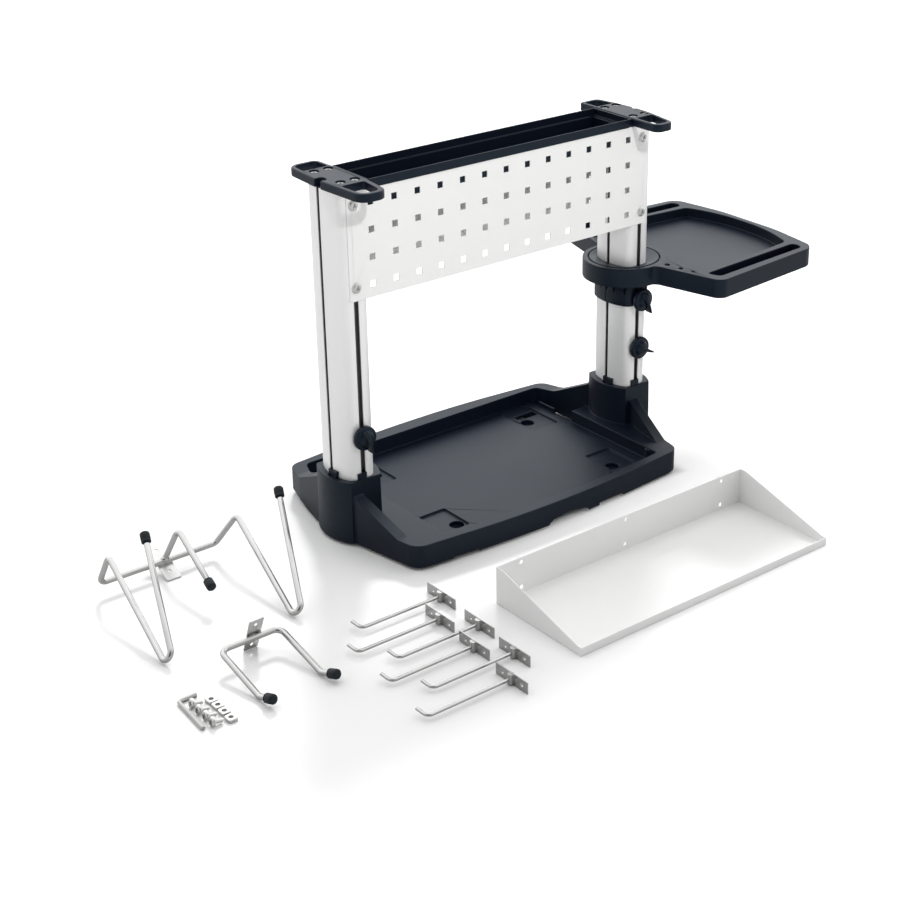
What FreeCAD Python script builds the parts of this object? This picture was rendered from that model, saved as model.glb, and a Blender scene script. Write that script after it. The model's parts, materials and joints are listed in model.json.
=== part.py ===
import FreeCAD, Part
import math
import os

V = FreeCAD.Vector

# Driving dimensions, in millimetres. X runs along the panel, -Y is the
# front, Z is up and Z = 0 is the surface everything stands on.
POST_PITCH = 512.0
POST_X = POST_PITCH / 2
POST_HALF_W = 27.5
POST_HALF_D = 38.5
POST_SIDE_R = 78.0
POST_CORNER_R = 13.8
POST_WALL = 2.6
POST_FOOT_Z = 10.0
POST_TOP_Z = 513.4
SLOT_FRONT = (3.75, 6.5, 2.5, 9.0)
SLOT_SIDE = (3.0, 6.0, 2.5, 9.0)
CHANNEL = (11.2, 31.0, 2.2)

SHELL_X = -11.5
SKIRT_Z = 4.0
FLOOR_Z = 19.0
RIM_Z = 38.0
HANDLE_Z = 42.0
SOCKET_Z = 98.0
SOCKET_HALF_D = 43.0
SOCKET_FLAT = 24.4
SOCKET_HALF_W = 38.4
SOCKET_DRAFT = 1.0
WALL = 3.0
FIT_GAP = 0.3
PEDESTAL_X = 200.6
REAR_FLOOR_Y = 149.0
GUSSET_W = 16.4
CUP_Z = 8.6

PANEL_T = 1.5
PANEL_HALF_L = 266.0
PANEL_Z0 = 360.0
PANEL_Z1 = 511.4
HOLE_PITCH = 38.0
HOLE_SIZE = 9.2
HOLE_COLS = 13
HOLE_ROWS = 4
HOLE_TOP_Z = 493.0
SCREW_Z = (493.0, 379.0)

CAP_INNER = 22.4
CAP_GAP = 1.0
TROUGH_HALF_L = POST_X - CAP_INNER - CAP_GAP
TROUGH_HALF_D = 41.4
TROUGH_WALL = 2.2
TROUGH_Z0 = PANEL_Z1 + 0.1
TROUGH_Z1 = POST_TOP_Z + 10.6
LEDGE_DROP = 10.9
LEDGE_Z = TROUGH_Z1 - LEDGE_DROP
TUB_END_GAP = 2.5
TUB_SIDE_GAP = 0.3
TUB_HALF_L = POST_X - POST_HALF_W - TUB_END_GAP
TUB_HALF_D = POST_HALF_D - TUB_SIDE_GAP
TUB_WALL = 2.0
TUB_DEPTH = 31.1
TUB_Z0 = LEDGE_Z - TUB_DEPTH
CAP_Z0 = POST_TOP_Z + 0.1
CAP_Z1 = CAP_Z0 + 11.5
CAP_SEAT_DROP = 5.0
CAP_SEAT_Z = CAP_Z1 - CAP_SEAT_DROP
CAP_EDGE_R = 2.2

HUB_X = POST_X + 5.2
COLLAR_R = 63.4
HUB_R = 44.0
FLANGE_R = 55.2
FLANGE_T = 4.6
HUB_CLEAR = 0.06
TRAY_Z0 = 267.5
TRAY_Z1 = 297.0
PAN_Z = 281.5
RING_Z0 = 231.0
RING_T = 3.6
NOTCHES = 14
NOTCH_TURN = -150.0
NOTCH_Z = 250.0
THREAD_R = 3.0
SHANK_R = 2.95
KNOB_R = 17.6
WING_REACH = 22.0
KNOB_Z = 161.4
RING_KNOB_Z = 241.0
KNOB_GAP = 0.3

WIRE_R = 4.0
HOOK_R = 2.3
TAB_PITCH = 38.0
SHELF_T = 1.5


def box(x0, x1, y0, y1, z0, z1):
    return Part.makeBox(x1 - x0, y1 - y0, z1 - z0, V(x0, y0, z0))


def cyl(x, y, z, r, h, axis=V(0, 0, 1)):
    return Part.makeCylinder(r, h, V(x, y, z), axis)


def fuse(shapes):
    return shapes[0].multiFuse(shapes[1:]).removeSplitter()


def corner_edges(points, radii, closed):
    """Edges through the points, each corner rounded with its own radius."""
    n = len(points)
    cuts = []
    for i in range(n):
        here = points[i]
        if radii[i] <= 0 or (not closed and i in (0, n - 1)):
            cuts.append((here, None, here))
            continue
        back = (points[i - 1] - here).normalize()
        ahead = (points[(i + 1) % n] - here).normalize()
        half = back.getAngle(ahead) / 2
        reach = radii[i] / math.tan(half)
        middle = (back + ahead).normalize() * (radii[i] / math.sin(half) - radii[i])
        cuts.append((here + back * reach, here + middle, here + ahead * reach))
    edges = []
    for i in range(n):
        start, middle, end = cuts[i]
        if middle is not None:
            edges.append(Part.Arc(start, middle, end).toShape())
        if closed or i < n - 1:
            following = cuts[(i + 1) % n][0]
            if (following - end).Length > 1e-4:
                edges.append(Part.makeLine(end, following))
    return edges


def face(corners, z=0.0):
    """Flat face through corners given as (x, y, corner radius)."""
    points = [V(c[0], c[1], z) for c in corners]
    edges = corner_edges(points, [c[2] for c in corners], True)
    return Part.Face(Part.Wire(edges))


def prism(corners, z0, z1):
    return face(corners, z0).extrude(V(0, 0, z1 - z0))


def grown(flat, distance, z0, z1):
    """Prism on a face grown or shrunk sideways by a distance."""
    outline = flat.makeOffset2D(distance)
    outline.translate(V(0, 0, z0 - outline.BoundBox.ZMin))
    return outline.extrude(V(0, 0, z1 - z0))


def rect(x0, x1, y0, y1, r=0.0):
    return [(x0, y0, r), (x1, y0, r), (x1, y1, r), (x0, y1, r)]


def mirrored(half, centre=0.0):
    """Closed corner list from half of it, given as (distance from centre, y, r)."""
    right = [(centre + p[0], p[1], p[2]) for p in half]
    left = [(centre - p[0], p[1], p[2]) for p in reversed(half)]
    return right + left


def side_profile(points, x0, x1):
    """Prism along X from a closed (y, z) outline."""
    wire = Part.makePolygon([V(x0, y, z) for y, z in points + points[:1]])
    return Part.Face(wire).extrude(V(x1 - x0, 0, 0))


def rod(points, radius, bend):
    """Round wire bent through points in space."""
    nodes = [V(*p) for p in points]
    path = Part.Wire(corner_edges(nodes, [bend] * len(nodes), False))
    lead = (nodes[1] - nodes[0]).normalize()
    ring = Part.Wire(Part.makeCircle(radius, nodes[0], lead))
    return path.makePipeShell([ring], True, False)


def save(shape, name):
    shape.exportStep("parts/" + name + ".step")


# Post section

def post_outline(grow=0.0):
    """Oval with short flats front and back, grown outwards by a distance."""
    cx = POST_HALF_W - POST_SIDE_R
    reach = POST_SIDE_R - POST_CORNER_R
    sine = (POST_HALF_D - POST_CORNER_R) / reach
    cosine = math.sqrt(1 - sine * sine)
    corner = (cx + reach * cosine, POST_HALF_D - POST_CORNER_R)
    side_r = POST_SIDE_R + grow
    tip = (cx + side_r * cosine, side_r * sine)
    top = POST_HALF_D + grow
    mid_angle = (math.atan2(sine, cosine) + math.pi / 2) / 2
    corner_r = POST_CORNER_R + grow
    mid = (corner[0] + corner_r * math.cos(mid_angle), corner[1] + corner_r * math.sin(mid_angle))
    side = (POST_HALF_W + grow, 0.0)
    edges = [
        Part.Arc(V(tip[0], -tip[1], 0), V(side[0], 0, 0), V(tip[0], tip[1], 0)).toShape(),
        Part.Arc(V(tip[0], tip[1], 0), V(mid[0], mid[1], 0), V(corner[0], top, 0)).toShape(),
        Part.makeLine(V(corner[0], top, 0), V(-corner[0], top, 0)),
        Part.Arc(V(-corner[0], top, 0), V(-mid[0], mid[1], 0), V(-tip[0], tip[1], 0)).toShape(),
        Part.Arc(V(-tip[0], tip[1], 0), V(-side[0], 0, 0), V(-tip[0], -tip[1], 0)).toShape(),
        Part.Arc(V(-tip[0], -tip[1], 0), V(-mid[0], -mid[1], 0), V(-corner[0], -top, 0)).toShape(),
        Part.makeLine(V(-corner[0], -top, 0), V(corner[0], -top, 0)),
        Part.Arc(V(corner[0], -top, 0), V(mid[0], -mid[1], 0), V(tip[0], -tip[1], 0)).toShape(),
    ]
    return Part.Face(Part.Wire(edges))


def post_block(grow, z0, z1, x=0.0, y=0.0):
    block = post_outline(grow).extrude(V(0, 0, z1 - z0))
    block.translate(V(x, y, z0))
    return block


def tee_slot(size, reach, along_y):
    """Section of one T-slot, cut from the outline at distance reach."""
    mouth, cavity, lip, depth = size
    tools = []
    for sign in (1, -1):
        low, mid, high = reach - depth, reach - lip, reach + 1
        for half, a, b in ((mouth, low, high), (cavity, low, mid)):
            a, b = sorted((sign * a, sign * b))
            if along_y:
                tools.append(face(rect(-half, half, a, b)))
            else:
                tools.append(face(rect(a, b, -half, half)))
    return tools


def post(x):
    """Extrusion with four T-slots, four screw channels and hollow core."""
    section = post_outline()
    core = post_outline(-POST_WALL)
    front_w = SLOT_FRONT[1] + 2.0
    front_d = POST_HALF_D - SLOT_FRONT[3] - POST_WALL
    side_w = SLOT_SIDE[1] + 2.2
    side_d = POST_HALF_W - SLOT_SIDE[3] - POST_WALL
    housing = [
        face(rect(-front_w, front_w, front_d, POST_HALF_D)),
        face(rect(-front_w, front_w, -POST_HALF_D, -front_d)),
        face(rect(side_d, POST_HALF_W, -side_w, side_w)),
        face(rect(-POST_HALF_W, -side_d, -side_w, side_w)),
    ]
    cx, cy, cr = CHANNEL
    spots = [(sx * cx, sy * cy) for sx in (1, -1) for sy in (1, -1)]
    for px, py in spots:
        housing.append(face(rect(px - 5.2, px + 5.2, py - 4.8, py + 4.8)))
    core = core.cut(housing[0].multiFuse(housing[1:]))
    tools = [core]
    tools += tee_slot(SLOT_FRONT, POST_HALF_D, True)
    tools += tee_slot(SLOT_SIDE, POST_HALF_W, False)
    for px, py in spots:
        tools.append(Part.Face(Part.Wire(Part.makeCircle(cr, V(px, py, 0)))))
    section = section.cut(tools[0].multiFuse(tools[1:]))
    solid = section.extrude(V(0, 0, POST_TOP_Z - POST_FOOT_Z))
    solid.translate(V(x, 0, POST_FOOT_Z))
    return solid


# Base moulding

FRONT_HALF = [(268.4, 49.0, 0), (274.4, 0.0, 0), (245.0, -160.4, 22), (80.0, -176.4, 1500)]
POCKET = [
    (PEDESTAL_X, 60.0, 0), (PEDESTAL_X, -148.6, 7), (69.0, -160.0, 1200),
    (-92.0, -160.0, 1200), (-PEDESTAL_X, -149.8, 7), (-PEDESTAL_X, 60.0, 0),
]
RING_OUTER = [(80.0, 175.5, 1500), (242.5, 160.0, 20), (257.0, 112.0, 120), (276.0, 20.0, 0)]
RING_INNER = [(221.0, REAR_FLOOR_Y, 11), (231.0, 124.0, 14), (247.0, 19.0, 0)]
HOLE_SPOTS = [(148.0, -107.0), (-148.0, -107.0), (148.0, 95.0), (-148.0, 95.0)]
HOLE_R = 10.5
FEET = [(-230.0, -128.0), (207.0, -128.0), (-188.0, 133.0), (188.0, 133.0), (0.0, 0.0)]


def socket_outline(grow, z):
    """Socket outline: flat front and back, bulging sides."""
    w, s, d = SOCKET_FLAT + grow, SOCKET_HALF_W + grow, SOCKET_HALF_D + grow
    edges = [
        Part.makeLine(V(-w, -d, z), V(w, -d, z)),
        Part.Arc(V(w, -d, z), V(s, 0, z), V(w, d, z)).toShape(),
        Part.makeLine(V(w, d, z), V(-w, d, z)),
        Part.Arc(V(-w, d, z), V(-s, 0, z), V(-w, -d, z)).toShape(),
    ]
    return Part.Wire(edges)


def socket(x):
    body = Part.makeLoft([socket_outline(SOCKET_DRAFT, SKIRT_Z), socket_outline(0, SOCKET_Z)], True)
    body.translate(V(x, 0, 0))
    return body


def gussets(outline):
    """Sloping ribs from the sockets' front corners down to the rim, flush with the shell."""
    band = grown(outline, -0.001, SKIRT_Z + 4, SOCKET_Z).cut(grown(outline, -GUSSET_W, 0, 200))
    slope = [(-20, 20), (-20, 88.0), (-SOCKET_HALF_D, 77), (-124, RIM_Z), (-128, 36), (-128, 20)]
    return band.common(side_profile(slope, -300, 300)).Solids


def rear_ring():
    """Carrying handle behind the tray, with grips that climb to the sockets."""
    outer = face(mirrored(RING_OUTER, SHELL_X)[::-1])
    inner = prism(mirrored(RING_INNER, SHELL_X)[::-1], 0, 100)
    top = [
        (20, SKIRT_Z), (20, 89), (SOCKET_HALF_D, 78), (108, 47), (117, 43.2), (126, HANDLE_Z),
        (180, HANDLE_Z), (180, 8), (120, 8), (80, SKIRT_Z),
    ]
    hollow = [(47, 0), (47, 70), (108, 43), (117, 39.5), (126, 39), (180, 39), (180, 0)]
    ring = grown(outer, -0.001, 0, 100).cut(inner).common(side_profile(top, -320, 320))
    core = grown(outer, -WALL, 0, 100)
    bigger = face(mirrored(RING_INNER, SHELL_X)[::-1]).makeOffset2D(WALL).extrude(V(0, 0, 100))
    core = core.cut(bigger).common(side_profile(hollow, -320, 320))
    return ring.cut(core)


def tray_recesses():
    """Shallow pockets round the four bench holes, with the rear square slots."""
    cuts = []
    for sign in (1, -1):
        x0, x1 = sorted((sign * 135, sign * 181))
        cuts.append(prism(rect(x0, x1, -121, -60, 4), 16.0, 30))
        x0, x1 = sorted((sign * 131, sign * 184))
        cuts.append(prism(rect(x0, x1, 61, 140, 4), 16.0, 30))
        x0, x1 = sorted((sign * 144, sign * 182))
        cuts.append(box(x0, x1, 110, 124, 0, 30))
    return cuts


def base_tray():
    outline = face(mirrored(FRONT_HALF, SHELL_X)[::-1])
    shell = grown(outline, -0.001, SKIRT_Z, RIM_Z)
    pocket = prism(POCKET, FLOOR_Z, 100)
    hollow = grown(outline, -WALL, -1, RIM_Z - WALL)
    keep_floor = face(POCKET).makeOffset2D(WALL)
    keep_floor.translate(V(0, 0, FLOOR_Z - WALL))
    hollow = hollow.cut(keep_floor.extrude(V(0, 0, 60)))
    hollow = hollow.cut(box(-300, 300, 46, 60, -2, 100))
    for x in (-POST_X, POST_X):
        hollow = hollow.cut(socket(x))
    shell = shell.cut(hollow).cut(pocket)
    rear_floor = box(-203, 203, 45, REAR_FLOOR_Y + 1, FLOOR_Z - WALL, FLOOR_Z)
    edge_bars = []
    for sign in (1, -1):
        a, b = sorted((sign * 200.0, sign * 203.0))
        edge_bars.append(box(a, b, 45, REAR_FLOOR_Y + 1, SKIRT_Z, FLOOR_Z))
        a, b = sorted((sign * 200.6, sign * 204.5))
        edge_bars.append(box(a, b, 92, 132, SKIRT_Z, FLOOR_Z + 7))
        a, b = sorted((sign * 131.0, sign * 187.0))
        edge_bars.append(box(a - 3, b + 3, 58, 143, 13.0, 16.5))
        a, b = sorted((sign * 135.0, sign * 181.0))
        edge_bars.append(box(a - 3, b + 3, -124, -57, 13.0, 16.5))
    rear_web = box(-203, 203, REAR_FLOOR_Y - 0.5, REAR_FLOOR_Y + 3, SKIRT_Z + 4, FLOOR_Z)
    solids = [shell, rear_floor, rear_ring(), rear_web] + edge_bars
    for x in (-POST_X, POST_X):
        solids.append(socket(x))
    solids += gussets(outline)
    for y in (-135, -90, -45, 0, 45, 90, 130):
        solids.append(box(-199.0, 199.0, y - 1.2, y + 1.2, 7.0, 16.5))
    for x in (-170, -125, -80, -35, 35, 80, 125, 170):
        solids.append(box(x - 1.2, x + 1.2, -158.0, 148.0, 7.0, 16.5))
    for x, y in HOLE_SPOTS:
        solids.append(cyl(x, y, 7.0, HOLE_R + 3, 9.5))
    for x, y in FEET:
        solids.append(cyl(x, y, SKIRT_Z, 9.0, (35.5 if y < -100 else 16.5) - SKIRT_Z))
    body = fuse(solids)
    cuts = tray_recesses()
    for x, y in HOLE_SPOTS:
        cuts.append(cyl(x, y, CUP_Z, HOLE_R, 40))
    for x, y in FEET:
        cuts.append(cyl(x, y, 0, 4.0, 12.0))
    for x in (-POST_X, POST_X):
        cuts.append(post_block(0.05, POST_FOOT_Z, 120, x))
        for dx, dy in ((0, SOCKET_HALF_D - 4), (0, -SOCKET_HALF_D + 4)):
            cuts.append(box(x + dx - 3.6, x + dx + 3.6, dy - 2.6, dy + 2.6, SOCKET_Z - 14, 120))
        for sign in (1, -1):
            cx = x + sign * (POST_HALF_W + 2.4)
            cuts.append(box(cx - 3.0, cx + 3.0, -2.9, 2.9, SOCKET_Z - 14, 120))
        for dx in (CHANNEL[0], -CHANNEL[0]):
            for dy in (CHANNEL[1], -CHANNEL[1]):
                cuts.append(cyl(x + dx, dy, 0, 2.7, 20))
                cuts.append(cyl(x + dx, dy, 0, 5.2, 7.6))
    arch = [(-33, 0, 0), (42, 0, 0), (42, 6, 3), (34, 10.5, 8), (6, 15, 30), (-26, 10.5, 8), (-33, 6, 3)]
    opening = face(arch)
    opening.rotate(V(0, 0, 0), V(1, 0, 0), 90)
    opening.translate(V(0, -165, 0))
    cuts.append(opening.extrude(V(0, -20, 0)))
    for x0, x1, top in ((63, 112, 8), (-197, -156, 6)):
        cuts.append(box(x0, x1, -182, -160, 0, top))
    return body.cut(cuts[0].multiFuse(cuts[1:])).removeSplitter()


def socket_keys():
    """Keys in the T-slot mouths at the sockets, each with a lug beside the mouth."""
    low = SOCKET_Z - 13.9
    side = box(-POST_HALF_W - 3.4, -POST_HALF_W + 2.0, -15.5, 2.8, SOCKET_Z + 0.2, SOCKET_Z + 9.0)
    side = side.cut(post_block(FIT_GAP, 0, 200))
    side_tongue = box(-POST_HALF_W - 3.4, -POST_HALF_W + 8.0, -2.8, 2.8, low, SOCKET_Z + 9.0)
    front = box(-10.5, 3.5, -POST_HALF_D - 3.0, -POST_HALF_D - FIT_GAP, SOCKET_Z + 0.2, SOCKET_Z + 9.0)
    front_tongue = box(-3.5, 3.5, -POST_HALF_D - 2.9, -POST_HALF_D + 8.0, low, SOCKET_Z + 9.0)
    keys = []
    for x in (-POST_X, POST_X):
        for turn in (0, 180):
            for lug, tongue in ((side, side_tongue), (front, front_tongue)):
                key = fuse([lug, tongue])
                key.rotate(V(0, 0, 0), V(0, 0, 1), turn)
                key.translate(V(x, 0, 0))
                keys.append(key)
    return Part.makeCompound(keys)


def base_feet():
    feet = []
    for x, y in FEET:
        pad = cyl(x, y, 0, 13.0, SKIRT_Z)
        pad = pad.makeFillet(1.2, [e for e in pad.Edges if e.BoundBox.ZMax < 0.01])
        feet.append(fuse([pad, cyl(x, y, SKIRT_Z - 1, 3.95, 8.0)]))
    return Part.makeCompound(feet)


# Fasteners

def pan_screw(head_r, head_h, shank_r, length, drive_r):
    """Screw along +Z with its head below z = 0 and a cross recess."""
    head = Part.makeCylinder(head_r, head_h, V(0, 0, -head_h))
    head = head.makeFillet(head_h * 0.7, [e for e in head.Edges if e.BoundBox.ZMax < -head_h + 0.01])
    body = head.fuse(Part.makeCylinder(shank_r, length))
    for half_x, half_y in ((drive_r, drive_r * 0.22), (drive_r * 0.22, drive_r)):
        body = body.cut(box(-half_x, half_x, -half_y, half_y, -head_h - 1, -head_h * 0.35))
    return body.removeSplitter()


def placed(shape, position, axis, spin=0.0):
    """Copy of a shape built along +Z, turned to an axis and moved."""
    item = shape.copy()
    item.rotate(V(0, 0, 0), V(0, 0, 1), spin)
    turn = FreeCAD.Rotation(V(0, 0, 1), V(*axis))
    item.Placement = FreeCAD.Placement(V(*position), turn).multiply(item.Placement)
    return item


def post_bolts():
    screw = pan_screw(4.8, 3.0, CHANNEL[2] - 0.03, 24.0, 2.4)
    spots = [(x + sx * CHANNEL[0], sy * CHANNEL[1], 7.6)
             for x in (-POST_X, POST_X) for sx in (1, -1) for sy in (1, -1)]
    return Part.makeCompound([placed(screw, p, (0, 0, 1)) for p in spots])


def cap_screws():
    screw = pan_screw(6.2, 3.2, CHANNEL[2] - 0.03, 26.0, 2.9)
    spots = [(x + sx * CHANNEL[0], sy * CHANNEL[1], CAP_SEAT_Z)
             for x in (-POST_X, POST_X) for sx in (1, -1) for sy in (1, -1)]
    return Part.makeCompound([placed(screw, p, (0, 0, -1), 20.0) for p in spots])


def panel_screws():
    screw = pan_screw(7.0, 3.6, SHANK_R, 9.0, 3.4)
    front = [placed(screw, (x, -POST_HALF_D - PANEL_T, z), (0, 1, 0), 30.0)
             for x in (-POST_X, POST_X) for z in SCREW_Z]
    back = [placed(screw, (x, POST_HALF_D + PANEL_T, z), (0, -1, 0), 30.0)
            for x in (-POST_X, POST_X) for z in SCREW_Z]
    return Part.makeCompound(front + back)


def tee_nut(x, y, z, sign):
    """Nut inside a front or rear T-slot, against the slot's lips."""
    outer = POST_HALF_D - SLOT_FRONT[2]
    a, b = sorted((sign * (outer - 4.4), sign * outer))
    block = box(x - SLOT_FRONT[1] + 0.3, x + SLOT_FRONT[1] - 0.3, a, b, z - 8, z + 8)
    return block.cut(cyl(x, -60, z, THREAD_R, 120, V(0, 1, 0)))


def panel_nuts():
    nuts = [tee_nut(x, 0, z, sign) for x in (-POST_X, POST_X) for z in SCREW_Z for sign in (1, -1)]
    return Part.makeCompound(nuts)


# Panels, trough and caps

def panel(y0):
    """Sheet with a grid of square holes and two screw holes at each end."""
    sheet = face(rect(-PANEL_HALF_L, PANEL_HALF_L, PANEL_Z0, PANEL_Z1, 2.0))
    tools = []
    half = HOLE_SIZE / 2
    for i in range(HOLE_COLS):
        x = (i - (HOLE_COLS - 1) / 2) * HOLE_PITCH
        for k in range(HOLE_ROWS):
            z = HOLE_TOP_Z - k * HOLE_PITCH
            tools.append(face(rect(x - half, x + half, z - half, z + half)))
    for x in (-POST_X, POST_X):
        for z in SCREW_Z:
            tools.append(Part.Face(Part.Wire(Part.makeCircle(THREAD_R + 0.2, V(x, z, 0)))))
    sheet = sheet.cut(Part.makeCompound(tools))
    sheet = sheet.extrude(V(0, 0, PANEL_T))
    sheet.rotate(V(0, 0, 0), V(1, 0, 0), 90)
    sheet.translate(V(0, y0 + PANEL_T, 0))
    return sheet.Solids[0]


def top_trough():
    """Deep channel between the panels, with a rim that covers their top edges."""
    inside_x = TROUGH_HALF_L - TROUGH_WALL
    inside_y = TROUGH_HALF_D - TROUGH_WALL
    tub_y = TUB_HALF_D - TUB_WALL
    step_x = POST_X - POST_HALF_W - 0.4
    rim = box(-TROUGH_HALF_L, TROUGH_HALF_L, -TROUGH_HALF_D, TROUGH_HALF_D, TROUGH_Z0, TROUGH_Z1)
    rim = rim.cut(box(-inside_x, inside_x, -inside_y, inside_y, LEDGE_Z, TROUGH_Z1 + 1))
    solids = [rim, box(-TUB_HALF_L, TUB_HALF_L, -TUB_HALF_D, TUB_HALF_D, TUB_Z0, LEDGE_Z)]
    tub_x = TUB_HALF_L - TUB_WALL
    cuts = [box(-tub_x, tub_x, -tub_y, tub_y, TUB_Z0 + TUB_WALL, TROUGH_Z1 + 1)]
    for sign in (1, -1):
        a, b = sorted((sign * (step_x - 2.0), sign * TROUGH_HALF_L))
        solids.append(box(a, b, -TROUGH_HALF_D, TROUGH_HALF_D, TROUGH_Z0, CAP_Z0 + 2.2))
        a, b = sorted((sign * step_x, sign * (TROUGH_HALF_L + 1)))
        cuts.append(box(a, b, -TROUGH_HALF_D - 1, TROUGH_HALF_D + 1, TROUGH_Z0 - 1, CAP_Z0))
        for x in (-222, -111, 111, 222):
            y0, y1 = sorted((sign * (tub_y - 0.4), sign * (inside_y - 0.6)))
            cuts.append(box(x - 3, x + 3, y0, y1, LEDGE_Z - 0.9, LEDGE_Z + 1))
    body = fuse(solids)
    return body.cut(cuts[0].multiFuse(cuts[1:])).removeSplitter()


# Each cap is given round its post's axis: outline, front loop, rear loop and notch.
CAP_LEFT = (
    [(-24.5, -97.8, 17), (17.0, -97.8, 17), (22.4, -46.0, 20), (22.4, 40.0, 20),
     (20.5, 75.0, 9), (-25.5, 75.0, 17), (-30.0, -6.0, 260)],
    [(-18.0, -90.5, 10), (9.0, -90.5, 10), (15.0, -47.0, 4), (-21.5, -47.0, 4)],
    [(-21.5, 41.0, 4), (17.0, 41.0, 4), (15.5, 69.0, 7), (-19.5, 69.0, 10)],
    [(-33.0, -11.0, 0), (-17.0, -11.0, 5), (-17.0, 2.5, 5), (-33.0, 2.5, 0)],
)
CAP_RIGHT = (
    [(-22.6, -94.5, 12), (11.0, -94.5, 14), (25.5, -6.0, 260), (13.5, 76.0, 10), (-22.6, 76.0, 6)],
    [(-17.4, -87.5, 7), (6.0, -87.5, 8), (14.0, -44.0, 4), (-17.0, -44.0, 4)],
    [(-17.0, 41.0, 4), (13.5, 41.0, 4), (7.0, 70.5, 8), (-17.4, 70.5, 6)],
    [(30.0, -4.5, 0), (30.0, 7.5, 0), (17.0, 7.5, 5), (17.0, -4.5, 5)],
)


def end_cap(x, outline, front, rear, notch):
    """Cap over a post top: a long loop in front, a shorter one behind, a notch outside."""
    body = prism(outline, CAP_Z0, CAP_Z1)
    rims = [e for e in body.Edges if e.BoundBox.ZMin > CAP_Z1 - 0.01]
    body = body.makeFillet(CAP_EDGE_R, rims)
    cuts = [prism(hole, CAP_Z0 - 10, CAP_Z1 + 10) for hole in (front, rear, notch)]
    for sx in (1, -1):
        for sy in (1, -1):
            cuts.append(cyl(sx * CHANNEL[0], sy * CHANNEL[1], CAP_SEAT_Z, 6.8, 20))
            cuts.append(cyl(sx * CHANNEL[0], sy * CHANNEL[1], CAP_Z0 - 5.0, 2.7, 20))
    body = body.cut(cuts[0].multiFuse(cuts[1:]))
    body.translate(V(x, 0, 0))
    return body.removeSplitter()


# Swivel tray on the right post

TRAY = [
    (-14.0, -50.0, 0), (-14.0, -60.2, 0), (11.0, -62.6, 15), (41.2, -174.5, 17), (262.0, -155.5, 26),
    (277.0, -60.0, 260), (277.0, 60.0, 260), (262.0, 155.5, 26), (41.2, 174.5, 17), (11.0, 62.6, 15),
    (-14.0, 60.2, 0), (-14.0, 50.0, 0),
]
PAN = [
    (46.0, -132.0, 8), (245.0, -111.0, 14), (266.0, -50.0, 240), (266.0, 50.0, 240),
    (245.0, 111.0, 14), (46.0, 132.0, 8),
]
SLOT = [(56.0, -157.0, 8), (246.0, -144.5, 9), (249.0, -124.0, 9), (48.0, -136.5, 5)]


def flipped(corners):
    return [(x, -y, r) for x, y, r in corners][::-1]


def swivel_tray():
    """Swinging tray: pan, two tool slots and a collar round the bush."""
    outline = face(TRAY)
    pan = face(PAN)
    slots = [face(SLOT), face(flipped(SLOT))]
    height = TRAY_Z1 - TRAY_Z0
    hub = HUB_X - POST_X
    shell = grown(outline, -0.001, TRAY_Z0, TRAY_Z1)
    collar = cyl(hub, 0, TRAY_Z0, COLLAR_R, height)
    void = grown(outline, -2.6, TRAY_Z0 - 1, TRAY_Z1 - 2.6)
    void = void.cut(grown(pan, 2.4, PAN_Z - 2.6, 400))
    for slot in slots:
        void = void.cut(grown(slot, 2.4, TRAY_Z0 - 2, 400))
    void = void.cut(cyl(hub, 0, 0, COLLAR_R, 500))
    pan_cut = grown(pan, -0.001, PAN_Z, 400).cut(cyl(hub, 0, 0, COLLAR_R + 1.5, 500))
    shell = shell.cut(void).cut(pan_cut)
    ribs = []
    for y in (-90, -45, 0, 45, 90):
        ribs.append(box(60, 262, y - 1.1, y + 1.1, TRAY_Z0 + 2, PAN_Z - 2))
    for x in (90, 135, 180, 225):
        ribs.append(box(x - 1.1, x + 1.1, -125, 125, TRAY_Z0 + 2, PAN_Z - 2))
    body = fuse([shell, collar] + ribs)
    cuts = [grown(slot, -0.001, TRAY_Z0 + 2.6, 400) for slot in slots]
    cuts.append(cyl(hub, 0, 0, HUB_R + HUB_CLEAR, 500))
    cuts.append(cyl(hub, 0, TRAY_Z1 - FLANGE_T - FIT_GAP, FLANGE_R + FIT_GAP, 50))
    for x, y, r in ((29, -71, 4.2), (33, -96, 3.6), (38, -117, 2.8)):
        cuts.append(cyl(x, y, 0, r, 500))
        cuts.append(cyl(x, -y, 0, r, 500))
    body = body.cut(cuts[0].multiFuse(cuts[1:]))
    body.translate(V(POST_X, 0, 0))
    return body.removeSplitter()


def swivel_bush():
    """Flanged bush on the post that the tray's collar turns on."""
    flange = cyl(HUB_X, 0, TRAY_Z1 - FLANGE_T, FLANGE_R, FLANGE_T)
    flange = flange.makeFillet(0.6, [e for e in flange.Edges if e.BoundBox.ZMin > TRAY_Z1 - 0.01])
    barrel = cyl(HUB_X, 0, TRAY_Z0, HUB_R, TRAY_Z1 - TRAY_Z0 - 1)
    body = fuse([flange, barrel])
    return body.cut(post_block(FIT_GAP, 200, 400, POST_X)).removeSplitter()


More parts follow.
